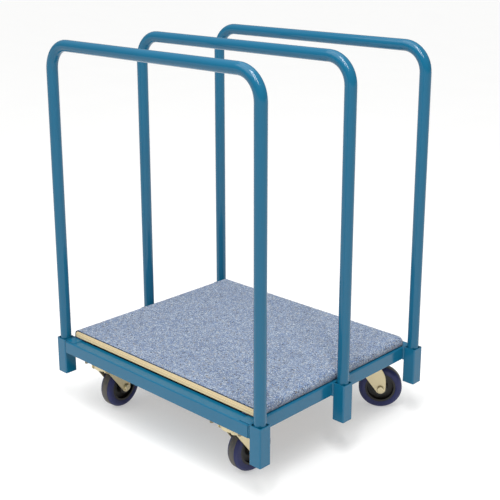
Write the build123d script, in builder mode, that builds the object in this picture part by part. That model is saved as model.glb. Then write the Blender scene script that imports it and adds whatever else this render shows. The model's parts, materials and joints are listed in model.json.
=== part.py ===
from build123d import *
import math
import os

# Board and panel trolley: a welded frame on four swivel castors, a carpeted
# plywood deck, and three tubular hoops that lift out of square sockets.
# Millimetres. +Z is up, X runs along the hoops and Y across them.
# The origin is on the floor, below the middle of the frame.

# ---- Hoops ----
hoop_span = 620.0  # between the two legs of one hoop, centre to centre
hoop_pitch = 255.0  # from one hoop to the next
hoop_rise = 680.0  # from the top of the frame to the centre of the top bar
hoop_bend = 55.0  # bend radius at the tube's centreline
tube_diameter = 25.4
tube_wall = 2.0

# ---- Sockets ----
socket_clearance = 0.3  # between the tube and each flat of its socket
socket_wall = 2.0
socket_height = 84.0
socket_corner = 3.0  # outside corner radius of the square tube
stop_thickness = 3.0
stop_height = 4.0  # underside of the stop above the socket's open foot

# ---- Frame ----
rail_size = 30.0  # square side rails
rail_wall = 2.0
rail_corner = 3.0
angle_thickness = 3.0
angle_flange = 40.0
angle_drop = 2.0  # the end rails lie this much below the side rails
angle_gap = 0.5  # between an end rail's flange and the side rail
angle_end_gap = 4.0  # left open beside each corner socket for the weld
angle_bend = 2.4  # outside radius of the angle's corner, under its thickness
bearer_thickness = 5.0
weld_leg = 3.5
weld_hollow = 1.4  # how far a bead's middle stands out of its corner
weld_sunk = 0.6  # from the frame's end face to a weld beside an end rail

# ---- Deck ----
board_thickness = 15.0
board_edge_radius = 10.0
board_lower_radius = 2.0
board_end_inset = 27.0  # from the frame's end face to the board's end
carpet_thickness = 3.0
carpet_margin = 4.0  # from the side rail's outer face to the carpet's edge
carpet_flap = 40.0  # width turned in below the board

# ---- Deck screws ----
screw_pitch = 180.0
screw_diameter = 6.0
screw_head_flats = 10.0
screw_head_height = 4.0
screw_bite = 12.0  # depth in the board
screw_hole_play = 0.5

# ---- Castors ----
castor_side_gap = 6.0  # between a castor plate and the side rail
castor_end_inset = 54.0  # from the frame's end face to a kingpin
castor_trail = 36.0
plate_length = 104.0
plate_width = 84.0
plate_thickness = 3.5
plate_corner = 8.0
plate_hole_x = 80.0
plate_hole_y = 60.0
castor_turns = {"front_left": 95.0, "front_right": 85.0, "rear_right": 38.0, "rear_left": -75.0}

castor_bolt_diameter = 8.0
castor_bolt_length = 25.0
castor_bolt_flats = 13.0
castor_bolt_head = 5.3
castor_nut_height = 6.8
castor_washer_diameter = 16.0
castor_washer_thickness = 1.6
castor_hole_play = 1.0
washer_hole_play = 0.4

race_depth = 3.0
race_radius = 22.0
ball_radius = 2.0
ball_circle = 17.0
ball_count = 20
ball_gap = 0.3
ball_sink = 1.1
kingpin_radius = 6.0
kingpin_play = 0.08
kingpin_head_radius = 10.0
kingpin_head_height = 4.5
kingpin_head_gap = 0.3
kingpin_sunk = 0.3  # below the top of the plate

fork_thickness = 3.0
fork_crown_radius = 33.0
fork_skirt_depth = 14.3
fork_crown_edge = 4.0
fork_leg_end = 11.5  # radius of each leg's foot round the axle
fork_bulge = 0.5  # how far the trailing edge swells behind the foot
fork_waist = 3.5  # how far it has come in at the waist
fork_waist_share = 0.62  # height of the waist, between the axle and the skirt
fork_shoulder_width = 13.5  # the leading edge's curve below the skirt
fork_shoulder_drop = 8.6
fork_side_gap = 0.5  # between the hub and each leg
fork_wheel_room = 21.3  # from the top of the wheel to the crown

wheel_diameter = 100.0
tyre_width = 32.0
tyre_shoulder = 6.0
tyre_tread_width = 18.0
tyre_tread_rise = 0.8
tyre_shoulder_radius = 8.0
tyre_thickness = 15.0
rim_width = 29.0
rim_thickness = 4.5
web_thickness = 8.0
web_fillet = 3.0
hub_radius = 16.0
hub_width = 37.0
axle_diameter = 10.0
axle_play = 0.05
sleeve_wall = 2.5
bearing_play = 0.08
bearing_wall = 3.5
bearing_inset = 1.0
axle_head_radius = 8.0
axle_head_height = 5.0
axle_head_edge = 1.2
axle_nut_flats = 17.0
axle_nut_height = 8.0
axle_end = 2.0  # axle standing out of its nut

# ---- Levels and places worked out from the sizes above ----
tube_radius = tube_diameter / 2
socket_size = tube_diameter + 2 * (socket_clearance + socket_wall)
socket_bore = socket_size - 2 * socket_wall
socket_bore_corner = socket_corner - socket_wall
socket_x = hoop_span / 2
socket_face_x = socket_x - socket_size / 2
rail_x = socket_face_x - rail_size / 2
rail_inner_x = rail_x - rail_size / 2
frame_end_y = hoop_pitch + socket_size / 2
rail_end_y = frame_end_y - angle_thickness
castor_x = rail_inner_x - castor_side_gap - plate_length / 2
castor_y = frame_end_y - castor_end_inset

axle_height = wheel_diameter / 2
rim_radius = wheel_diameter / 2 - tyre_thickness
crown_under = wheel_diameter + fork_wheel_room
crown_top = crown_under + fork_thickness
skirt_foot = crown_top - fork_skirt_depth
ball_height = crown_top - ball_sink + ball_radius
race_bottom = ball_height + ball_radius + ball_gap
plate_bottom = race_bottom + race_depth
plate_top = plate_bottom + plate_thickness
kingpin_foot = crown_under - kingpin_head_gap - kingpin_head_height
fork_inner = hub_width / 2 + fork_side_gap
fork_outer = fork_inner + fork_thickness
sleeve_radius = axle_diameter / 2 + axle_play + sleeve_wall
bearing_bore = sleeve_radius + bearing_play
bearing_radius = bearing_bore + bearing_wall

frame_bottom = plate_top
frame_top = frame_bottom + rail_size
angle_top = frame_top - angle_drop
socket_foot = frame_top - socket_height
leg_foot = socket_foot + stop_height + stop_thickness
bearer_width = 2 * (rail_end_y - castor_y)
bearer_top = frame_bottom + bearer_thickness

carpet_half = rail_x + rail_size / 2 - carpet_margin
board_half = carpet_half - carpet_thickness
board_length = 2 * (frame_end_y - board_end_inset)
board_bottom = frame_top + carpet_thickness
board_top = board_bottom + board_thickness
board_middle = (board_bottom + board_top) / 2

corners = {
    "front_left": (-1, -1),
    "front_right": (1, -1),
    "rear_right": (1, 1),
    "rear_left": (-1, 1),
}
rows = {"front": -hoop_pitch, "middle": 0.0, "rear": hoop_pitch}
sides = {"left": -1, "right": 1}

os.makedirs("parts", exist_ok=True)


def save(builder, name):
    """Label a finished piece and write it."""
    builder.part.label = name
    export_step(builder.part, f"parts/{name}.step")


def at(x, y, z):
    """A level plane with its origin at a point."""
    return Plane.XY.offset(z).shift_origin((x, y, z))


def hexagon(flats):
    """Hexagon measured across its flats, in the sketch being drawn."""
    return RegularPolygon(radius=flats / 2, side_count=6, major_radius=False)


# ---- Frame: square side rails ----
screw_hole = (screw_diameter + screw_hole_play) / 2
for side, sx in sides.items():
    with BuildPart() as rail:
        with BuildSketch(Plane.XZ.offset(-rail_end_y)):
            with Locations((sx * rail_x, frame_bottom + rail_size / 2)):
                RectangleRounded(rail_size, rail_size, rail_corner)
                bore = rail_size - 2 * rail_wall
                RectangleRounded(bore, bore, rail_corner - rail_wall, mode=Mode.SUBTRACT)
        extrude(amount=2 * rail_end_y)
        with BuildSketch(at(sx * rail_x, 0, frame_bottom)):
            with GridLocations(0, screw_pitch, 1, 3):
                Circle(screw_hole)
        extrude(amount=rail_size, mode=Mode.SUBTRACT)
    save(rail, f"{side}_side_rail")

# ---- Frame: angle end rails, with the flange cut back between the side rails ----
leg_half = socket_face_x - angle_end_gap
flange_half = rail_inner_x - angle_gap
for end, sy in (("front", -1), ("rear", 1)):
    with BuildPart() as angle:
        with BuildSketch(Plane.YZ.offset(-leg_half)):
            with BuildLine():
                Polyline(
                    (sy * frame_end_y, frame_bottom),
                    (sy * frame_end_y, angle_top),
                    (sy * (frame_end_y - angle_flange), angle_top),
                    (sy * (frame_end_y - angle_flange), angle_top - angle_thickness),
                    (sy * rail_end_y, angle_top - angle_thickness),
                    (sy * rail_end_y, frame_bottom),
                    close=True,
                )
            make_face()
        extrude(amount=2 * leg_half)
        outer_bend = angle.edges().filter_by(Axis.X).filter_by_position(Axis.Z, angle_top, angle_top)
        fillet(outer_bend.sort_by(Axis.Y)[0 if sy < 0 else -1], radius=angle_bend)
        for sx in (-1, 1):
            notch = leg_half - flange_half
            with BuildSketch(Plane.XY.offset(frame_bottom)):
                with Locations((sx * (flange_half + notch / 2), sy * (rail_end_y - angle_flange / 2))):
                    Rectangle(notch, angle_flange)
            extrude(amount=rail_size, mode=Mode.SUBTRACT)
    save(angle, f"{end}_end_rail")

# ---- Frame: flat bearers that carry the castors ----
for end, sy in (("front", -1), ("rear", 1)):
    with BuildPart() as bearer:
        with BuildSketch(at(0, sy * castor_y, frame_bottom)):
            Rectangle(2 * rail_inner_x, bearer_width)
        extrude(amount=bearer_thickness)
        with BuildSketch(at(0, 0, frame_bottom)):
            with Locations((-castor_x, sy * castor_y), (castor_x, sy * castor_y)):
                with GridLocations(plate_hole_x, plate_hole_y, 2, 2):
                    Circle((castor_bolt_diameter + castor_hole_play) / 2)
        extrude(amount=bearer_thickness, mode=Mode.SUBTRACT)
    save(bearer, f"{end}_castor_bearer")

# ---- Frame: six upright sockets, welded to the outside of the side rails ----
for row, y in rows.items():
    for side, sx in sides.items():
        with BuildPart() as socket:
            with BuildSketch(at(sx * socket_x, y, socket_foot)):
                RectangleRounded(socket_size, socket_size, socket_corner)
                RectangleRounded(socket_bore, socket_bore, socket_bore_corner, mode=Mode.SUBTRACT)
            extrude(amount=socket_height)
        save(socket, f"{row}_{side}_socket")

# ---- Frame: the stops that the hoops stand on ----
with BuildPart() as stops:
    with BuildSketch(Plane.XY.offset(socket_foot + stop_height)):
        with GridLocations(hoop_span, hoop_pitch, 2, 3):
            RectangleRounded(socket_bore, socket_bore, socket_bore_corner)
    extrude(amount=stop_thickness)
save(stops, "socket_stops")

# ---- Frame: weld beads beside the sockets ----
with BuildPart() as welds:
    for sx in (-1, 1):
        for y, sy in ((-hoop_pitch, 1), (0, -1), (0, 1), (hoop_pitch, -1)):
            face_y = y + sy * socket_size / 2
            corner_x = socket_face_x + socket_corner
            corner_y = face_y - sy * socket_corner
            slant = socket_corner * math.sqrt(0.5)
            heel = (sx * socket_face_x, corner_y)
            on_corner = (sx * (corner_x - slant), corner_y + sy * slant)
            round_end = (sx * corner_x, face_y)
            on_rail = (sx * socket_face_x, face_y + sy * weld_leg)
            in_bead = (sx * (socket_face_x + weld_hollow), face_y + sy * weld_hollow)
            with BuildSketch(Plane.XY.offset(frame_bottom)):
                with BuildLine():
                    Line(heel, on_rail)
                    ThreePointArc(on_rail, in_bead, round_end)
                    ThreePointArc(round_end, on_corner, heel)
                make_face()
            extrude(amount=rail_size)
        for sy in (-1, 1):
            with BuildSketch(Plane.XY.offset(frame_bottom)):
                middle_x = socket_face_x - angle_end_gap / 2
                middle_y = (rail_end_y + frame_end_y - weld_sunk) / 2
                with Locations((sx * middle_x, sy * middle_y)):
                    Rectangle(angle_end_gap, angle_thickness - weld_sunk)
            extrude(amount=angle_top - frame_bottom)
save(welds, "frame_welds")

# ---- Deck board ----
with BuildPart() as board:
    with BuildSketch(Plane.XZ.offset(-board_length / 2)):
        with Locations((0, board_middle)):
            Rectangle(2 * board_half, board_thickness)
    extrude(amount=board_length)
    long_edges = board.edges().filter_by(Axis.Y).group_by(Axis.Z)
    fillet(long_edges[-1], radius=board_edge_radius)
    fillet(board.edges().filter_by(Axis.Y).group_by(Axis.Z)[0], radius=board_lower_radius)
    with BuildSketch(Plane.XY.offset(board_bottom)):
        with GridLocations(2 * rail_x, screw_pitch, 2, 3):
            Circle(screw_diameter / 2)
    extrude(amount=screw_bite, mode=Mode.SUBTRACT)
save(board, "deck_board")

# ---- Carpet: over the top, round the long edges and turned in below ----
with BuildPart() as carpet:
    with BuildSketch(Plane.XZ.offset(-board_length / 2)) as section:
        with Locations((0, board_middle)):
            Rectangle(2 * carpet_half, board_thickness + 2 * carpet_thickness)
        upper = section.vertices().group_by(Axis.Y)[-1]
        fillet(upper, radius=board_edge_radius + carpet_thickness)
        lower = section.vertices().group_by(Axis.Y)[0]
        fillet(lower, radius=board_lower_radius + carpet_thickness)
        with BuildSketch(mode=Mode.SUBTRACT) as core:
            with Locations((0, board_middle)):
                Rectangle(2 * board_half, board_thickness)
            fillet(core.vertices().group_by(Axis.Y)[-1], radius=board_edge_radius)
            fillet(core.vertices().group_by(Axis.Y)[0], radius=board_lower_radius)
        with Locations((0, board_bottom - carpet_thickness / 2)):
            Rectangle(2 * (carpet_half - carpet_flap), carpet_thickness, mode=Mode.SUBTRACT)
    extrude(amount=board_length)
    with BuildSketch(Plane.XY.offset(frame_top)):
        with GridLocations(2 * rail_x, screw_pitch, 2, 3):
            Circle(screw_hole)
    extrude(amount=carpet_thickness + board_lower_radius, mode=Mode.SUBTRACT)
save(carpet, "deck_carpet")

# ---- Deck screws, driven up through the side rails ----
with BuildPart() as screws:
    with BuildSketch(Plane.XY.offset(frame_bottom)):
        with GridLocations(2 * rail_x, screw_pitch, 2, 3):
            hexagon(screw_head_flats)
    extrude(amount=-screw_head_height)
    with BuildSketch(Plane.XY.offset(frame_bottom)):
        with GridLocations(2 * rail_x, screw_pitch, 2, 3):
            Circle(screw_diameter / 2)
    extrude(amount=board_bottom + screw_bite - frame_bottom)
save(screws, "deck_screws")

# ---- Hoops ----
for row, y in rows.items():
    with BuildPart() as hoop:
        with BuildLine() as path:
            FilletPolyline(
                (-socket_x, y, leg_foot),
                (-socket_x, y, frame_top + hoop_rise),
                (socket_x, y, frame_top + hoop_rise),
                (socket_x, y, leg_foot),
                radius=hoop_bend,
            )
        with BuildSketch(at(-socket_x, y, leg_foot)):
            Circle(tube_radius)
            Circle(tube_radius - tube_wall, mode=Mode.SUBTRACT)
        sweep(path=path.line)
    save(hoop, f"{row}_hoop")

# ---- Castor bolts, washers and nuts ----
def castor_grid():
    """The sixteen bolt positions."""
    spots = GridLocations(plate_hole_x, plate_hole_y, 2, 2)
    centres = GridLocations(2 * castor_x, 2 * castor_y, 2, 2)
    return [centre * spot for centre in centres for spot in spots]


bolt_radius = castor_bolt_diameter / 2
nut_top = plate_bottom - castor_washer_thickness
with BuildPart() as castor_bolts:
    with BuildSketch(Plane.XY.offset(bearer_top)):
        with Locations(castor_grid()):
            hexagon(castor_bolt_flats)
    extrude(amount=castor_bolt_head)
    with BuildSketch(Plane.XY.offset(bearer_top)):
        with Locations(castor_grid()):
            Circle(bolt_radius)
    extrude(amount=-castor_bolt_length)
save(castor_bolts, "castor_bolts")

with BuildPart() as castor_washers:
    with BuildSketch(Plane.XY.offset(plate_bottom)):
        with Locations(castor_grid()):
            Circle(castor_washer_diameter / 2)
            Circle(bolt_radius + washer_hole_play / 2, mode=Mode.SUBTRACT)
    extrude(amount=-castor_washer_thickness)
save(castor_washers, "castor_washers")

with BuildPart() as castor_nuts:
    with BuildSketch(Plane.XY.offset(nut_top)):
        with Locations(castor_grid()):
            hexagon(castor_bolt_flats)
            Circle(bolt_radius, mode=Mode.SUBTRACT)
    extrude(amount=-castor_nut_height)
save(castor_nuts, "castor_nuts")

# ---- Kingpins, riveted into the castor plates ----
with BuildPart() as kingpins:
    with BuildSketch(Plane.XY.offset(kingpin_foot)):
        with GridLocations(2 * castor_x, 2 * castor_y, 2, 2):
            Circle(kingpin_head_radius)
    extrude(amount=kingpin_head_height)
    with BuildSketch(Plane.XY.offset(kingpin_foot)):
        with GridLocations(2 * castor_x, 2 * castor_y, 2, 2):
            Circle(kingpin_radius)
    extrude(amount=plate_top - kingpin_sunk - kingpin_foot)
save(kingpins, "kingpins")

# ---- One castor: its kingpin stands at the origin and its wheel trails to +X ----
with BuildPart() as top_plate:
    with BuildSketch(Plane.XY.offset(plate_bottom)):
        RectangleRounded(plate_length, plate_width, plate_corner)
    extrude(amount=plate_thickness)
    with BuildSketch(Plane.XY.offset(plate_bottom)):
        Circle(race_radius)
    extrude(amount=-race_depth)
    chamfer(top_plate.edges().group_by(Axis.Z)[0], length=race_depth / 2)
    with BuildSketch(Plane.XY.offset(race_bottom)):
        Circle(kingpin_radius)
        with GridLocations(plate_hole_x, plate_hole_y, 2, 2):
            Circle((castor_bolt_diameter + castor_hole_play) / 2)
    extrude(amount=race_depth + plate_thickness, mode=Mode.SUBTRACT)

with BuildPart() as swivel_balls:
    with Locations(Plane.XY.offset(ball_height)):
        with PolarLocations(ball_circle, ball_count):
            Sphere(ball_radius)

# Each leg's leading edge runs from a shoulder below the skirt straight to the foot,
# which it meets as a tangent. Its trailing edge curves up from the foot to the skirt.
crown_x = fork_crown_radius - fork_thickness
shoulder = (fork_shoulder_width - crown_x, skirt_foot - fork_shoulder_drop)
shoulder_away = (shoulder[0] - castor_trail, shoulder[1] - axle_height)
tangent_angle = math.atan2(shoulder_away[1], shoulder_away[0])
tangent_angle += math.acos(fork_leg_end / math.hypot(*shoulder_away))
foot_front = (
    castor_trail + fork_leg_end * math.cos(tangent_angle),
    axle_height + fork_leg_end * math.sin(tangent_angle),
)
foot_back = (castor_trail + fork_leg_end, axle_height)
bulge = (foot_back[0] + fork_bulge, axle_height + fork_leg_end)
waist = (foot_back[0] - fork_waist, axle_height + fork_waist_share * (skirt_foot - axle_height))

with BuildPart() as fork:
    with BuildSketch(Plane.XZ.offset(-fork_outer)):
        with BuildLine():
            Line(foot_back, bulge)
            Spline(bulge, waist, (crown_x, skirt_foot), tangents=[(0, 1), (-0.6, 1)])
            Polyline((crown_x, skirt_foot), (crown_x, crown_under), (-crown_x, crown_under))
            Line((-crown_x, crown_under), (-crown_x, skirt_foot))
            leading = (foot_front[0] - shoulder[0], foot_front[1] - shoulder[1])
            Spline((-crown_x, skirt_foot), shoulder, tangents=[(0.35, -1), leading])
            Line(shoulder, foot_front)
            RadiusArc(foot_front, foot_back, -fork_leg_end)
        make_face()
    extrude(amount=2 * fork_outer)
    with BuildSketch(Plane.XY.offset(0)):
        Rectangle(4 * fork_crown_radius, 2 * fork_inner)
    extrude(amount=crown_under, mode=Mode.SUBTRACT)
    with BuildSketch(Plane.XZ) as crown_section:
        with BuildLine():
            Polyline(
                (0, crown_under),
                (crown_x, crown_under),
                (crown_x, skirt_foot),
                (fork_crown_radius, skirt_foot),
                (fork_crown_radius, crown_top),
                (0, crown_top),
                close=True,
            )
        make_face()
        outer_corner = crown_section.vertices().sort_by(Axis.Y)[-2:].sort_by(Axis.X)[-1]
        fillet(outer_corner, radius=fork_crown_edge)
    revolve(axis=Axis.Z)
    with BuildSketch(Plane.XZ):
        with Locations((ball_circle, ball_height)):
            Circle(ball_radius)
    revolve(axis=Axis.Z, mode=Mode.SUBTRACT)
    with BuildSketch(Plane.XY.offset(crown_under)):
        Circle(kingpin_radius + kingpin_play)
    extrude(amount=fork_thickness, mode=Mode.SUBTRACT)
    with BuildSketch(Plane.XZ.offset(-fork_outer)):
        with Locations((castor_trail, axle_height)):
            Circle(axle_diameter / 2)
    extrude(amount=2 * fork_outer, mode=Mode.SUBTRACT)

axle_line = Axis((castor_trail, 0, axle_height), (0, 1, 0))
axle_plane = Plane(origin=(castor_trail, 0, axle_height), x_dir=(0, 1, 0), z_dir=(1, 0, 0))


with BuildPart() as tyre:
    tread_half = tyre_tread_width / 2
    tyre_half = tyre_width / 2
    wheel_radius = wheel_diameter / 2
    with BuildSketch(axle_plane):
        with BuildLine():
            Polyline((tread_half, wheel_radius - tyre_tread_rise), (tread_half, wheel_radius))
            Line((tread_half, wheel_radius), (-tread_half, wheel_radius))
            Line((-tread_half, wheel_radius), (-tread_half, wheel_radius - tyre_tread_rise))
            for sy in (-1, 1):
                RadiusArc(
                    (sy * tread_half, wheel_radius - tyre_tread_rise),
                    (sy * tyre_half, wheel_radius - tyre_tread_rise - tyre_shoulder),
                    sy * tyre_shoulder_radius,
                )
                Line(
                    (sy * tyre_half, wheel_radius - tyre_tread_rise - tyre_shoulder),
                    (sy * rim_width / 2, rim_radius),
                )
            Line((-rim_width / 2, rim_radius), (rim_width / 2, rim_radius))
        make_face()
    revolve(axis=axle_line)

with BuildPart() as wheel_centre:
    with BuildSketch(axle_plane):
        with Locations((0, rim_radius - rim_thickness / 2)):
            Rectangle(rim_width, rim_thickness)
        with Locations((0, (rim_radius + bearing_radius) / 2)):
            Rectangle(web_thickness, rim_radius - bearing_radius)
        with Locations((0, (hub_radius + bearing_radius) / 2)):
            Rectangle(hub_width, hub_radius - bearing_radius)
    revolve(axis=axle_line)
    web_roots = wheel_centre.edges().filter_by(GeomType.CIRCLE).filter_by(
        lambda edge: abs(abs(edge.center().Y) - web_thickness / 2) < 0.01
    )
    fillet(web_roots, radius=web_fillet)

with BuildPart() as wheel_bearing:
    with BuildSketch(Plane.XZ.offset(-(hub_width / 2 - bearing_inset))):
        with Locations((castor_trail, axle_height)):
            Circle(bearing_radius)
            Circle(bearing_bore, mode=Mode.SUBTRACT)
    extrude(amount=hub_width - 2 * bearing_inset)

with BuildPart() as axle_sleeve:
    with BuildSketch(Plane.XZ.offset(-fork_inner)):
        with Locations((castor_trail, axle_height)):
            Circle(sleeve_radius)
            Circle(axle_diameter / 2 + axle_play, mode=Mode.SUBTRACT)
    extrude(amount=2 * fork_inner)

with BuildPart() as axle_bolt:
    with BuildSketch(Plane.XZ.offset(fork_outer)):
        with Locations((castor_trail, axle_height)):
            Circle(axle_head_radius)
    extrude(amount=axle_head_height)
    chamfer(axle_bolt.edges().group_by(Axis.Y)[0], length=axle_head_edge)
    with BuildSketch(Plane.XZ.offset(fork_outer)):
        with Locations((castor_trail, axle_height)):
            Circle(axle_diameter / 2)
    extrude(amount=-(2 * fork_outer + axle_nut_height + axle_end))

with BuildPart() as axle_nut:
    with BuildSketch(Plane.XZ.offset(-fork_outer)):
        with Locations((castor_trail, axle_height)):
            hexagon(axle_nut_flats)
            Circle(axle_diameter / 2, mode=Mode.SUBTRACT)
    extrude(amount=-axle_nut_height)

# ---- Four castors, each turned to its own resting angle ----
castor_pieces = {
    "swivel_balls": swivel_balls,
    "fork": fork,
    "axle_bolt": axle_bolt,
    "axle_nut": axle_nut,
    "axle_sleeve": axle_sleeve,
    "wheel_bearing": wheel_bearing,
    "wheel_centre": wheel_centre,
    "tyre": tyre,
}
for corner, (sx, sy) in corners.items():
    kingpin_place = Location((sx * castor_x, sy * castor_y, 0))
    with BuildPart() as placed_plate:
        with Locations(kingpin_place):
            add(top_plate.part)
    save(placed_plate, f"{corner}_castor_plate")
    turned_place = Location((sx * castor_x, sy * castor_y, 0), (0, 0, castor_turns[corner]))
    for piece_name, piece in castor_pieces.items():
        with BuildPart() as placed:
            with Locations(turned_place):
                add(piece.part)
        save(placed, f"{corner}_{piece_name}")

print("overall height", round(frame_top + hoop_rise + tube_radius, 1))
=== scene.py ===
import bmesh
import bpy
import json
import math
import random
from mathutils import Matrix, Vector


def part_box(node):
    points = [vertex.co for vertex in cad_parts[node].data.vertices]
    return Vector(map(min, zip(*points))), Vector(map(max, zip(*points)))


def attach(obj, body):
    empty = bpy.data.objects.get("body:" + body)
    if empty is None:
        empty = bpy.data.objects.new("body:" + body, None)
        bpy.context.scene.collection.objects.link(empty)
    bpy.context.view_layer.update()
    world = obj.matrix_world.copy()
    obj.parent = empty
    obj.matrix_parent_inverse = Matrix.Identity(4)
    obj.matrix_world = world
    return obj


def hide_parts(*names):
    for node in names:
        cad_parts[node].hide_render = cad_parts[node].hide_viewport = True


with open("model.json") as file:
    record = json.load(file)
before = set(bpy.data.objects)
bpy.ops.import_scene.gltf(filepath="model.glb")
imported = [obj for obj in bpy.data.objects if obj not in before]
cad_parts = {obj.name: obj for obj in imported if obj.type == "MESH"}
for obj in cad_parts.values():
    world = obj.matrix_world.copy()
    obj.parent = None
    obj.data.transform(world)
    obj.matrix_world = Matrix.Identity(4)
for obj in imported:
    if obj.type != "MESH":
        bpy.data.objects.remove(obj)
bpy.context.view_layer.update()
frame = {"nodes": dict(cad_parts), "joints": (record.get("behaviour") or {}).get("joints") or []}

nodes = frame["nodes"]
cornerNames = ["front_left", "front_right", "rear_right", "rear_left"]
mm = 0.001
print("frame loaded,", len(nodes), "nodes")


def startMaterial(name, colour, roughness, metallic=0.0):
    material = bpy.data.materials.new(name)
    material.use_nodes = True
    shader = material.node_tree.nodes["Principled BSDF"]
    shader.inputs["Base Color"].default_value = (*colour, 1)
    shader.inputs["Roughness"].default_value = roughness
    shader.inputs["Metallic"].default_value = metallic
    return material, material.node_tree, shader


def addNode(tree, kind, **settings):
    made = tree.nodes.new(kind)
    for key, value in settings.items():
        setattr(made, key, value)
    return made


def feed(tree, socket, source):
    # a socket takes either another node's output or a plain value
    if hasattr(source, "is_output"):
        tree.links.new(source, socket)
    else:
        socket.default_value = source


def objectPlace(tree):
    return addNode(tree, "ShaderNodeTexCoord").outputs["Object"]


def splitPlace(tree, place):
    parts = addNode(tree, "ShaderNodeSeparateXYZ")
    feed(tree, parts.inputs[0], place)
    return parts.outputs


def stretched(tree, place, scale):
    mapping = addNode(tree, "ShaderNodeMapping")
    feed(tree, mapping.inputs["Vector"], place)
    mapping.inputs["Scale"].default_value = scale
    return mapping.outputs["Vector"]


def noise(tree, place, scale, detail=2.0, distortion=0.0):
    texture = addNode(tree, "ShaderNodeTexNoise")
    feed(tree, texture.inputs["Vector"], place)
    texture.inputs["Scale"].default_value = scale
    texture.inputs["Detail"].default_value = detail
    texture.inputs["Distortion"].default_value = distortion
    return texture.outputs["Fac"]


def math2(tree, operation, first, second=0.0, third=0.0):
    made = addNode(tree, "ShaderNodeMath", operation=operation)
    feed(tree, made.inputs[0], first)
    feed(tree, made.inputs[1], second)
    feed(tree, made.inputs[2], third)
    return made.outputs[0]


def window(tree, factor, low, high):
    # 0 below low, 1 above high, smooth between
    made = addNode(tree, "ShaderNodeMapRange", interpolation_type="SMOOTHSTEP")
    feed(tree, made.inputs["Value"], factor)
    made.inputs["From Min"].default_value = low
    made.inputs["From Max"].default_value = high
    return made.outputs["Result"]


def spread(tree, factor, low, high):
    # noise lies mostly from 0.25 to 0.75, and that span becomes low to high
    made = addNode(tree, "ShaderNodeMapRange")
    feed(tree, made.inputs["Value"], factor)
    made.inputs["From Min"].default_value = 0.25
    made.inputs["From Max"].default_value = 0.75
    made.inputs["To Min"].default_value = low
    made.inputs["To Max"].default_value = high
    return made.outputs["Result"]


def blendColour(tree, factor, first, second):
    made = addNode(tree, "ShaderNodeMix", data_type="RGBA")
    feed(tree, made.inputs["Factor"], factor)
    for index, colour in ((6, first), (7, second)):  # the mix node's two colour sockets
        feed(tree, made.inputs[index], colour if hasattr(colour, "is_output") else (*colour, 1))
    return made.outputs[2]


def relief(tree, shader, height, distance, strength=1.0, edge=0.0):
    bump = addNode(tree, "ShaderNodeBump")
    feed(tree, bump.inputs["Height"], height)
    bump.inputs["Distance"].default_value = distance
    bump.inputs["Strength"].default_value = strength
    if edge:
        soft = addNode(tree, "ShaderNodeBevel", samples=6)
        soft.inputs["Radius"].default_value = edge
        tree.links.new(soft.outputs["Normal"], bump.inputs["Normal"])
    tree.links.new(bump.outputs["Normal"], shader.inputs["Normal"])


paint = {
    "colour": (0.005, 0.124, 0.232),
    "shade": (0.004, 0.114, 0.214),
    "roughness": (0.09, 0.15),
    "edgeRadius": 1.0 * mm,
    "specular": 0.38,
    "hoopDepth": 0.92,  # painted shade: the hoops get a darker copy of the frame's paint
    # painted shade: near-black for the slot under the board's ends
    "grime": (0.012, 0.012, 0.012),
}


def paintedShadeUnderBoard(tree, place):
    # 1 where a point lies under the board; there the end rails are coloured near-black as painted
    # shade in the slot under the board
    low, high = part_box("deck_board")
    parts = splitPlace(tree, place)
    inside = 1.0
    for axis, half in (("X", high.x), ("Y", high.y - 1.5 * mm)):
        reach = math2(tree, "ABSOLUTE", parts[axis])
        edge = window(tree, reach, half + 0.5 * mm, half - 2.5 * mm)
        inside = math2(tree, "MULTIPLY", edge, inside)
    upTo = window(tree, parts["Z"], low.z - 9 * mm, low.z - 7 * mm)
    return math2(tree, "MULTIPLY", inside, upTo)


def bluePaint(name="bluePaint", shadedSlot=False, depth=1.0):
    material, tree, shader = startMaterial(name, paint["colour"], 0.3)
    place = objectPlace(tree)
    clouds = noise(tree, place, 9, 3)
    tones = [[depth * part for part in paint[key]] for key in ("shade", "colour")]
    tone = blendColour(tree, clouds, *tones)
    # painted shade: the paint under the board's ends goes near-black
    if shadedSlot:
        tone = blendColour(tree, paintedShadeUnderBoard(tree, place), tone, paint["grime"])
    feed(tree, shader.inputs["Base Color"], tone)
    smears = noise(tree, place, 30, 3, 0.4)
    feed(tree, shader.inputs["Roughness"], spread(tree, smears, *paint["roughness"]))
    peel = noise(tree, place, 420, 2)
    relief(tree, shader, peel, 0.02 * mm, 0.4, paint["edgeRadius"])
    shader.inputs["Specular IOR Level"].default_value = paint["specular"]
    return material


wood = {
    "plyThickness": 3.0 * mm,
    "plyRipple": 0.5 * mm,
    "glueLine": 0.14,  # share of a ply's thickness
    "glueDepth": 0.75,
    "longGrain": (1.0, 0.83, 0.48),
    "longGrainDark": (0.93, 0.74, 0.43),
    "endGrain": (0.94, 0.70, 0.37),
    "endGrainDark": (0.90, 0.70, 0.41),
    "glue": (0.34, 0.22, 0.11),
    # the underside colours are painted shade, far darker than the wood's own colour
    "underside": (0.16, 0.105, 0.060),
    "undersideLight": (0.27, 0.185, 0.105),
}


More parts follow.
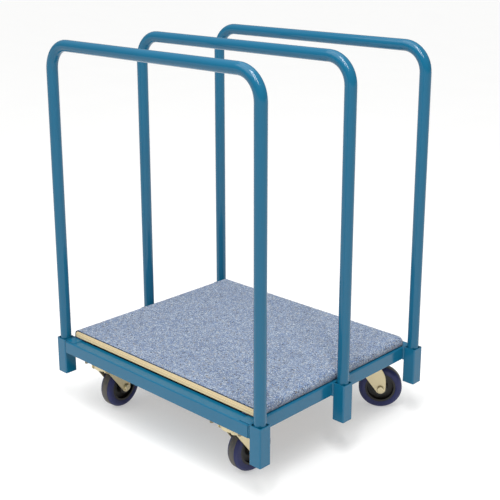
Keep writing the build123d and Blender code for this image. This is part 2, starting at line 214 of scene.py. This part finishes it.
def plywood():
    material, tree, shader = startMaterial("plywood", wood["longGrain"], 0.6)
    place = objectPlace(tree)
    parts = splitPlace(tree, place)
    ripple = noise(tree, stretched(tree, place, (6, 6, 30)), 2.0, 3)
    height = math2(tree, "MULTIPLY_ADD", ripple, wood["plyRipple"], parts["Z"])
    layer = math2(tree, "DIVIDE", height, wood["plyThickness"])
    inLayer = math2(tree, "FRACT", layer)
    number = math2(tree, "FLOOR", layer)
    oddPly = math2(tree, "GREATER_THAN", math2(tree, "MODULO", number, 2.0), 0.5)
    streaks = noise(tree, stretched(tree, place, (4, 4, 900)), 6.0, 4, 0.4)
    pores = noise(tree, stretched(tree, place, (700, 700, 500)), 1.0, 2)
    longTone = blendColour(tree, streaks, wood["longGrain"], wood["longGrainDark"])
    endTone = blendColour(tree, pores, wood["endGrain"], wood["endGrainDark"])
    plies = blendColour(tree, oddPly, longTone, endTone)
    glue = math2(tree, "LESS_THAN", inLayer, wood["glueLine"])
    glued = math2(tree, "MULTIPLY", glue, wood["glueDepth"])
    edge = blendColour(tree, glued, plies, wood["glue"])
    grain = noise(tree, stretched(tree, place, (160, 9, 9)), 1.0, 5, 0.8)
    grained = window(tree, grain, 0.35, 0.65)
    # painted shade: the board's underside gets the dark underside colours
    below = blendColour(tree, grained, wood["underside"], wood["undersideLight"])
    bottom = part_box("deck_board")[0].z
    isBelow = math2(tree, "LESS_THAN", parts["Z"], bottom + 0.15 * mm)
    feed(tree, shader.inputs["Base Color"], blendColour(tree, isBelow, edge, below))
    feed(tree, shader.inputs["Roughness"], spread(tree, pores, 0.5, 0.75))
    relief(tree, shader, math2(tree, "ADD", pores, glue), 0.12 * mm, 0.35)
    return material


felt = {
    "ground": (0.140, 0.200, 0.314),
    "light": (0.176, 0.240, 0.360),
    "pale": (0.490, 0.550, 0.615),
    "blue": (0.078, 0.152, 0.335),
    "dark": (0.020, 0.027, 0.053),
    "tan": (0.340, 0.304, 0.246),
    "backing": (0.030, 0.028, 0.026),
    "soiling": 0.35,  # painted shade: how dark the sides get towards the rails
}
flecks = [
    # scale along x, y and z, how twisted, from and to which noise level, colour
    ((320, 220, 270), 1.6, 0.49, 0.56, "blue"),
    ((210, 340, 270), 1.8, 0.52, 0.58, "pale"),
    ((340, 240, 290), 1.4, 0.57, 0.62, "dark"),
    ((240, 360, 290), 1.2, 0.61, 0.67, "tan"),
]


def feltCarpet():
    material, tree, shader = startMaterial("feltCarpet", felt["ground"], 0.95)
    place = objectPlace(tree)
    wide = noise(tree, place, 26, 3, 0.4)
    tone = blendColour(tree, window(tree, wide, 0.35, 0.7), felt["ground"], felt["light"])
    for index, (scale, distortion, low, high, colour) in enumerate(flecks):
        shifted = addNode(tree, "ShaderNodeVectorMath", operation="ADD")
        feed(tree, shifted.inputs[0], place)
        shifted.inputs[1].default_value = (index * 1.7, index * 0.9, index * 2.3)
        field = noise(tree, stretched(tree, shifted.outputs[0], scale), 1.0, 2, distortion)
        tone = blendColour(tree, window(tree, field, low, high), tone, felt[colour])
    low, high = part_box("deck_carpet")
    parts = splitPlace(tree, place)
    # painted shade: the carpet's sides darken towards the rails, mixed towards the backing colour
    sideways = window(tree, math2(tree, "ABSOLUTE", parts["X"]), high.x - 9 * mm, high.x)
    lowDown = window(tree, parts["Z"], high.z - 2 * mm, low.z + 3 * mm)
    sides = math2(tree, "MULTIPLY", sideways, lowDown)
    sideShading = math2(tree, "MULTIPLY", sides, felt["soiling"])
    feed(tree, shader.inputs["Base Color"], blendColour(tree, sideShading, tone, felt["backing"]))
    fibres = noise(tree, stretched(tree, place, (900, 900, 900)), 1.0, 3, 1.5)
    relief(tree, shader, fibres, 0.8 * mm, 0.9)
    shader.inputs["Sheen Weight"].default_value = 0.25
    shader.inputs["Sheen Roughness"].default_value = 0.5
    shader.inputs["Specular IOR Level"].default_value = 0.2
    return material


def carpetBacking():
    material, tree, shader = startMaterial("carpetBacking", felt["backing"], 0.9)
    threads = noise(tree, stretched(tree, objectPlace(tree), (500, 500, 900)), 1.0, 2, 0.8)
    tone = blendColour(tree, window(tree, threads, 0.52, 0.62), felt["backing"], felt["blue"])
    feed(tree, shader.inputs["Base Color"], tone)
    relief(tree, shader, threads, 0.5 * mm, 0.8)
    return material


zinc = {"colour": (0.70, 0.62, 0.41), "warm": (0.57, 0.48, 0.29), "roughness": (0.30, 0.48)}


def zincPlate(name="zincPlate", roughness=None, edge=0.6 * mm, depth=1.0):
    material, tree, shader = startMaterial(name, zinc["colour"], 0.35, 0.75)
    place = objectPlace(tree)
    clouds = noise(tree, place, 38, 4, 0.5)
    tones = [[depth * part for part in zinc[key]] for key in ("warm", "colour")]
    feed(tree, shader.inputs["Base Color"], blendColour(tree, clouds, *tones))
    feed(tree, shader.inputs["Roughness"], spread(tree, clouds, *(roughness or zinc["roughness"])))
    grain = noise(tree, place, 900, 2)
    relief(tree, shader, grain, 0.05 * mm, 0.4, edge)
    return material


steel = {"dull": (0.30, 0.29, 0.28), "bright": (0.50, 0.50, 0.50), "roughness": (0.2, 0.45)}


def bareSteel():
    material, tree, shader = startMaterial("bareSteel", steel["bright"], 0.3, 1.0)
    rings = noise(tree, objectPlace(tree), 260, 3)
    feed(tree, shader.inputs["Roughness"], spread(tree, rings, *steel["roughness"]))
    feed(tree, shader.inputs["Base Color"], blendColour(tree, rings, steel["dull"], steel["bright"]))
    relief(tree, shader, rings, 0.03 * mm, 0.4)
    return material


nylon = {"clean": (0.008, 0.007, 0.006), "dusty": (0.022, 0.018, 0.014), "roughness": (0.36, 0.6)}


def blackNylon():
    material, tree, shader = startMaterial("blackNylon", nylon["clean"], 0.45)
    place = objectPlace(tree)
    grain = noise(tree, place, 600, 3)
    dust = noise(tree, place, 60, 4, 0.3)
    dusty = window(tree, dust, 0.5, 0.75)
    feed(tree, shader.inputs["Base Color"], blendColour(tree, dusty, nylon["clean"], nylon["dusty"]))
    feed(tree, shader.inputs["Roughness"], spread(tree, dust, *nylon["roughness"]))
    relief(tree, shader, grain, 0.06 * mm, 0.5, 0.4 * mm)
    return material


rubber = {
    "blue": (0.012, 0.019, 0.118),
    "deep": (0.007, 0.009, 0.060),
    "tread": (0.055, 0.053, 0.051),
    "dirt": (0.105, 0.091, 0.075),
    "treadHalf": 8.4 * mm,
}


def blueRubber():
    material, tree, shader = startMaterial("blueRubber", rubber["blue"], 0.5)
    place = objectPlace(tree)
    across = addNode(tree, "ShaderNodeAttribute", attribute_name="across").outputs["Fac"]
    clouds = noise(tree, place, 70, 4, 0.4)
    body = blendColour(tree, clouds, rubber["deep"], rubber["blue"])
    streaks = noise(tree, stretched(tree, place, (150, 150, 40)), 1.0, 4, 0.8)
    tread = blendColour(tree, window(tree, streaks, 0.35, 0.7), rubber["tread"], rubber["dirt"])
    ragged = math2(tree, "MULTIPLY_ADD", clouds, 0.8 * mm, math2(tree, "ABSOLUTE", across))
    onTread = window(tree, ragged, rubber["treadHalf"] + 0.8 * mm, rubber["treadHalf"] - 0.2 * mm)
    feed(tree, shader.inputs["Base Color"], blendColour(tree, onTread, body, tread))
    feed(tree, shader.inputs["Roughness"], spread(tree, streaks, 0.42, 0.72))
    relief(tree, shader, noise(tree, place, 500, 3), 0.08 * mm, 0.5)
    return material


finishes = {
    "blue_paint": bluePaint(),
    "plywood": plywood(),
    "felt_carpet": feltCarpet(),
    "zinc_plate": zincPlate(),
    "bright_zinc": zincPlate("brightZinc", roughness=(0.22, 0.36), edge=0.4 * mm),
    "bare_steel": bareSteel(),
    "black_nylon": blackNylon(),
    "blue_rubber": blueRubber(),
}
# painted shade: a darker copy of the zinc for the bolts, nuts, washers and screws under the deck
dullZinc = zincPlate("dullZinc", roughness=(0.4, 0.6), edge=0.4 * mm, depth=0.42)
railPaint = bluePaint("railPaint", shadedSlot=True)
# painted shade: the hoops' paint is a darker copy of the frame's
hoopPaint = bluePaint("hoopPaint", depth=paint["hoopDepth"])
for name, node in nodes.items():
    for place in node.material_slots:
        place.material = finishes[place.material.name.split(".")[0]]
        if name in ("castor_bolts", "castor_nuts", "castor_washers", "deck_screws"):
            place.material = dullZinc
        # the end rails get the paint with the painted shade under the board
        if name in ("front_end_rail", "rear_end_rail"):
            place.material = railPaint
        if name.endswith("_hoop"):
            place.material = hoopPaint
print("materials made")


def finishPiece(name, work, slot, body):
    mesh = bpy.data.meshes.new(name)
    work.to_mesh(mesh)
    work.free()
    for face in mesh.polygons:
        face.use_smooth = True
    piece = bpy.data.objects.new(name, mesh)
    bpy.context.scene.collection.objects.link(piece)
    mesh.materials.append(finishes[slot])
    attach(piece, body)
    return piece


def arc(centre, radius, start, end, steps):
    points = []
    for step in range(steps + 1):
        angle = math.radians(start + (end - start) * step / steps)
        across, up = radius * math.cos(angle), radius * math.sin(angle)
        points.append((centre[0] + across, centre[1] + up))
    return points


wheelFrames = {}
for joint in frame["joints"]:
    if joint["name"].endswith("_wheel_spin"):
        corner = joint["name"].replace("_wheel_spin", "")
        axis = Vector(joint["axis"]).normalized()
        wheelFrames[corner] = (Vector(joint["pos_m"]), axis, joint["child"])


def turned(work, profile, centre, axis, segments, across):
    # profile is a closed loop of (radius, offset along the axle); across keeps the offset
    side = axis.cross(Vector((0, 0, 1))).normalized()
    up = side.cross(axis)
    rings = []
    for segment in range(segments):
        angle = 2 * math.pi * segment / segments
        out = side * math.cos(angle) + up * math.sin(angle)
        ring = []
        for radius, offset in profile:
            vert = work.verts.new(centre + out * radius + axis * offset)
            vert[across] = offset
            ring.append(vert)
        rings.append(ring)
    count = len(profile)
    for segment in range(segments):
        near, far = rings[segment], rings[(segment + 1) % segments]
        for index in range(count):
            following = (index + 1) % count
            work.faces.new((near[index], far[index], far[following], near[following]))


tyre = {  # millimetres
    "segments": 160,
    "width": 32.0,
    "treadHalf": 9.0,
    "treadRise": 0.8,
    "shoulder": 7.5,
    "bead": 29.0,  # width where it meets the wheel centre
    "rim": 35.0,
}


def makeTyre(corner):
    centre, axis, body = wheelFrames[corner]
    low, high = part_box(corner + "_tyre")
    outer = (high.z - low.z) / 2 / mm
    half = tyre["width"] / 2
    wall = outer - tyre["treadRise"]
    reach = tyre["shoulder"]
    right = [(outer, 0.0), (outer, tyre["treadHalf"] - 0.3), (outer - 0.3, tyre["treadHalf"])]
    right += [(wall, tyre["treadHalf"] + 0.2), (wall, half - reach + 0.4)]
    right += arc((wall - reach, half - reach), reach, 6, 86, 8)
    right.append((wall - reach - 1.2, half))
    right += [(tyre["rim"] + 1.0, tyre["bead"] / 2 + 0.35), (tyre["rim"], tyre["bead"] / 2)]
    left = [(radius, -offset) for radius, offset in reversed(right[1:])]
    profile = [(radius * mm, offset * mm) for radius, offset in right + left]
    work = bmesh.new()
    across = work.verts.layers.float.new("across")
    turned(work, profile, centre, axis, tyre["segments"], across)
    bmesh.ops.recalc_face_normals(work, faces=work.faces)
    piece = finishPiece(corner + "_tyreRing", work, "blue_rubber", body)
    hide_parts(corner + "_tyre")


for corner in cornerNames:
    makeTyre(corner)
print("tyres made")


weld = {
    "pitch": 1.3 * mm,  # from one ripple to the next
    "rowsToRipple": 3,
    "ripple": 0.45 * mm,
    "unevenness": 0.06 * mm,
    "leg": 3.5 * mm,
    "bulge": 1.9 * mm,  # how far a bead stands out of its corner
    "socketCorner": 3.0 * mm,
    "sunk": 0.6 * mm,  # from an end rail's face to the bead beside it
    "crown": 0.25 * mm,  # how far that bead's middle stands above its sides
    "slack": 0.02 * mm,
}


def sideBead(ripple, wobble, wallX, faceY, sy):
    # section of a bead in the corner between a side rail and a socket
    uneven = wobble.uniform(-weld["unevenness"], weld["unevenness"])
    turn = weld["socketCorner"]
    out = weld["bulge"] + weld["ripple"] * (ripple - 0.6) + uneven
    leg = weld["leg"] + weld["ripple"] * (ripple - 1)
    bead = [(wallX, faceY + sy * leg)]
    for share in (0.2, 0.4, 0.6, 0.8):
        swell = 4 * share * (1 - share) * (out - (turn + leg) / 4)
        x = wallX + turn * share
        y = faceY + sy * leg * (1 - share)
        bead.append((x + swell * 0.7, y + sy * swell * 0.7))
    bead.append((wallX + turn, faceY + sy * weld["slack"]))
    for angle in (67.5, 45, 22.5):
        across, along = math.cos(math.radians(angle)), math.sin(math.radians(angle))
        bead.append((wallX + turn * (1 - across), faceY - sy * turn * (1 - along)))
    bead.append((wallX, faceY - sy * turn))
    return bead


def endBead(ripple, wobble, fromX, toX, inner, outer):
    # section of a bead that fills the gap between an end rail and a corner socket
    uneven = wobble.uniform(-weld["unevenness"], 0.0)
    out = outer - weld["sunk"] + weld["ripple"] * (ripple - 1) + uneven
    middle = (fromX + weld["slack"] + toX) / 2
    sides = [fromX, middle, toX]
    face = [(x, out - (0 if x == middle else weld["crown"])) for x in sides]
    return face + [(x, inner) for x in reversed(sides)]


def climb(work, section, mirror, low, high):
    # section(ripple) gives a bead's outline; mirror puts it at its own corner
    rows = max(4, round((high - low) / weld["pitch"] * weld["rowsToRipple"]))
    rings = []
    for row in range(rows + 1):
        ripple = abs(math.sin(math.pi * row / weld["rowsToRipple"]))
        z = low + (high - low) * row / rows
        ring = [work.verts.new((mirror[0] * x, mirror[1] * y, z)) for x, y in section(ripple)]
        rings.append(ring)
    for near, far in zip(rings, rings[1:]):
        for index in range(len(near)):
            following = (index + 1) % len(near)
            work.faces.new((near[index], near[following], far[following], far[index]))
    work.faces.new(rings[0])
    work.faces.new(rings[-1])


def makeWelds():
    work = bmesh.new()
    wobble = random.Random(19)
    railLow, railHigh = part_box("right_side_rail")
    for side, sx in (("left", -1), ("right", 1)):
        for row, sy in (("front", 1), ("middle", -1), ("middle", 1), ("rear", -1)):
            low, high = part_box(row + "_" + side + "_socket")
            faceY = high.y if sy > 0 else low.y
            climb(work, lambda ripple: sideBead(ripple, wobble, railHigh.x, faceY, sy),
                  (sx, 1), railLow.z, railHigh.z)
        for end, sy in (("front", -1), ("rear", 1)):
            low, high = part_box(end + "_end_rail")
            outer = high.y if sy > 0 else -low.y
            fromX = high.x - weld["slack"]
            toX, inner = railHigh.x, railHigh.y
            climb(work, lambda ripple: endBead(ripple, wobble, fromX, toX, inner, outer),
                  (sx, sy), railLow.z, high.z)
    bmesh.ops.recalc_face_normals(work, faces=work.faces)
    piece = finishPiece("weldBeads", work, "blue_paint", "frame")
    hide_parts("frame_welds")


makeWelds()
print("welds made")


carpet = {
    "step": 3.0 * mm,  # size of the sheet's mesh
    "thickness": 3.0 * mm,
    "slack": 0.05 * mm,  # between the sheet and the board
    "flap": 40.0 * mm,
    "topRadius": 13.0 * mm,
    "lowRadius": 5.0 * mm,
    "fuzz": 0.35 * mm,
    "drift": 0.4 * mm,  # how far a point wanders along the board
    "fray": 1.2,  # how much more it wanders at the cut edges
    "side": 4.0 * mm,  # this near the board's side the fuzz points sideways
    "flatBelow": 2.0 * mm,  # the flaps underneath have no fuzz
}


def carpetPath(low, high, inset):
    # from one flap's end, round both long edges, to the other flap's end
    half = high.x - inset
    top, bottom = high.z - inset, low.z + inset
    upper, lower = carpet["topRadius"] - inset, carpet["lowRadius"] - inset
    flapEnd = high.x - carpet["flap"]
    right = [(flapEnd, bottom), (half - lower, bottom)]
    right += arc((half - lower, bottom + lower), lower, -90, 0, 5)[1:]
    right += arc((half - upper, top - upper), upper, 0, 90, 10)
    left = [(-x, z) for x, z in reversed(right)]
    return right + left


def resample(path, step):
    points = [Vector((x, 0, z)) for x, z in path]
    lengths = [0.0]
    for first, second in zip(points, points[1:]):
        lengths.append(lengths[-1] + (second - first).length)
    count = round(lengths[-1] / step)
    result, index = [], 0
    for number in range(count + 1):
        target = lengths[-1] * number / count
        while index < len(points) - 2 and lengths[index + 1] < target:
            index += 1
        share = (target - lengths[index]) / (lengths[index + 1] - lengths[index])
        result.append(points[index].lerp(points[index + 1], share))
    return result, lengths[-1]


def fuzzed(point, lift, low, high):
    if point.z < low.z + carpet["flatBelow"]:
        return Vector((0, 0, 0))
    if abs(point.x) > high.x - carpet["side"]:
        return Vector((lift if point.x > 0 else -lift, 0, 0))
    return Vector((0, 0, lift))


def makeCarpet():
    low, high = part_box("deck_carpet")
    outer, outerLength = resample(carpetPath(low, high, 0.0), carpet["step"])
    toBoard = carpet["thickness"] - carpet["slack"]
    inner = resample(carpetPath(low, high, toBoard), carpet["step"])[0]
    count, last = len(outer), len(inner) - 1
    inner = [inner[round(i * last / (count - 1))] for i in range(count)]
    length = high.y - low.y
    rows = round(length / carpet["step"])
    wobble = random.Random(7)
    work = bmesh.new()
    outside, inside = [], []
    for row in range(rows + 1):
        y = low.y + length * row / rows
        fray = carpet["fray"] if row in (0, rows) else 1
        line = []
        for point in outer:
            lift = wobble.uniform(-1, 0.2) * carpet["fuzz"]  # mostly inwards
            shift = wobble.uniform(-carpet["drift"], carpet["drift"]) * fray
            offset = fuzzed(point, lift, low, high)
            line.append(work.verts.new(Vector((point.x, y + shift, point.z)) + offset))
        outside.append(line)
        inside.append([work.verts.new((point.x, y, point.z)) for point in inner])
    for row in range(rows):
        near, far = outside[row], outside[row + 1]
        under, beyond = inside[row], inside[row + 1]
        for i in range(count - 1):
            work.faces.new((near[i], near[i + 1], far[i + 1], far[i]))
            work.faces.new((under[i], beyond[i], beyond[i + 1], under[i + 1]))
        for i in (0, count - 1):
            work.faces.new((near[i], far[i], beyond[i], under[i]))
    for row in (0, rows):
        near, under = outside[row], inside[row]
        for i in range(count - 1):
            edge = work.faces.new((near[i], near[i + 1], under[i + 1], under[i]))
            edge.material_index = 1
    bmesh.ops.recalc_face_normals(work, faces=work.faces)
    piece = finishPiece("carpetSheet", work, "felt_carpet", "frame")
    piece.data.materials.append(carpetBacking())
    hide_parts("deck_carpet")


makeCarpet()
print("carpet made")


studio = {
    "horizon": 0.32,
    "zenith": 0.66,
    "skyFrom": 0.15,  # the sky brightens between these two heights, 1 being overhead
    "skyTo": 0.9,
    "sunStrength": 1.25,
    "sunAngle": 55,
    "sunTurn": (27, -12, 0),
    "floorSize": 90,
    "floor": (0.61, 0.61, 0.605),
    "floorLight": (0.64, 0.64, 0.635),
    "floorGlow": 0.40,
    "boxes": [  # place, width and height, brightness
        ((0.70, -0.98, 2.55), (0.30, 1.50), 15),
        ((1.05, -0.60, 2.45), (0.30, 1.50), 15),
        ((-0.10, 0.25, 2.30), (1.30, 1.10), 1.1),
    ],
    "boxesFace": (0.0, 0.0, 0.55),
}


def makeFloor():
    bpy.ops.mesh.primitive_grid_add(x_subdivisions=8, y_subdivisions=8, size=studio["floorSize"])
    floor = bpy.context.object
    floor.name = "floor"
    material, tree, shader = startMaterial("paleFloor", studio["floor"], 0.9)
    grain = noise(tree, objectPlace(tree), 3, 3)
    tone = blendColour(tree, grain, studio["floor"], studio["floorLight"])
    feed(tree, shader.inputs["Base Color"], tone)
    shader.inputs["Specular IOR Level"].default_value = 0.1
    shader.inputs["Emission Color"].default_value = (1, 1, 1, 1)
    shader.inputs["Emission Strength"].default_value = studio["floorGlow"]
    floor.data.materials.append(material)


def makeLight():
    world = bpy.data.worlds.new("studioAir")
    bpy.context.scene.world = world
    world.use_nodes = True
    tree = world.node_tree
    air = tree.nodes["Background"]
    air.inputs["Color"].default_value = (1, 1, 1, 1)
    heading = splitPlace(tree, addNode(tree, "ShaderNodeTexCoord").outputs["Generated"])
    fade = addNode(tree, "ShaderNodeMapRange", interpolation_type="SMOOTHSTEP")
    feed(tree, fade.inputs["Value"], heading["Z"])
    fade.inputs["From Min"].default_value = studio["skyFrom"]
    fade.inputs["From Max"].default_value = studio["skyTo"]
    fade.inputs["To Min"].default_value = studio["horizon"]
    fade.inputs["To Max"].default_value = studio["zenith"]
    feed(tree, air.inputs["Strength"], fade.outputs["Result"])
    sun = bpy.data.lights.new("softSun", "SUN")
    sun.energy = studio["sunStrength"]
    sun.angle = math.radians(studio["sunAngle"])
    holder = bpy.data.objects.new("softSun", sun)
    holder.rotation_euler = [math.radians(a) for a in studio["sunTurn"]]
    bpy.context.scene.collection.objects.link(holder)
    for place, (width, height), brightness in studio["boxes"]:
        box = bpy.data.lights.new("lightBox", "AREA")
        box.shape = "RECTANGLE"
        box.size, box.size_y = width, height
        box.energy = brightness * math.pi * width * height
        holder = bpy.data.objects.new("lightBox", box)
        holder.location = place
        aim = Vector(studio["boxesFace"]) - Vector(place)
        holder.rotation_euler = aim.to_track_quat("-Z", "Y").to_euler()
        bpy.context.scene.collection.objects.link(holder)


camera = {
    "place": (1.48377, -1.51313, 1.07982),
    "turn": 43.65,
    "dip": 15.23,
    "focal": 71.28,
    "shift": -0.1,
}


def makeCamera():
    lens = bpy.data.cameras.new("camera")
    lens.lens = camera["focal"]
    lens.sensor_width = 36
    lens.shift_y = camera["shift"]
    holder = bpy.data.objects.new("camera", lens)
    holder.location = camera["place"]
    holder.rotation_euler = (math.radians(90 - camera["dip"]), 0, math.radians(camera["turn"]))
    bpy.context.scene.collection.objects.link(holder)
    bpy.context.scene.camera = holder


makeFloor()
makeLight()
makeCamera()
bpy.context.scene.view_settings.view_transform = "Standard"


print("scene made")
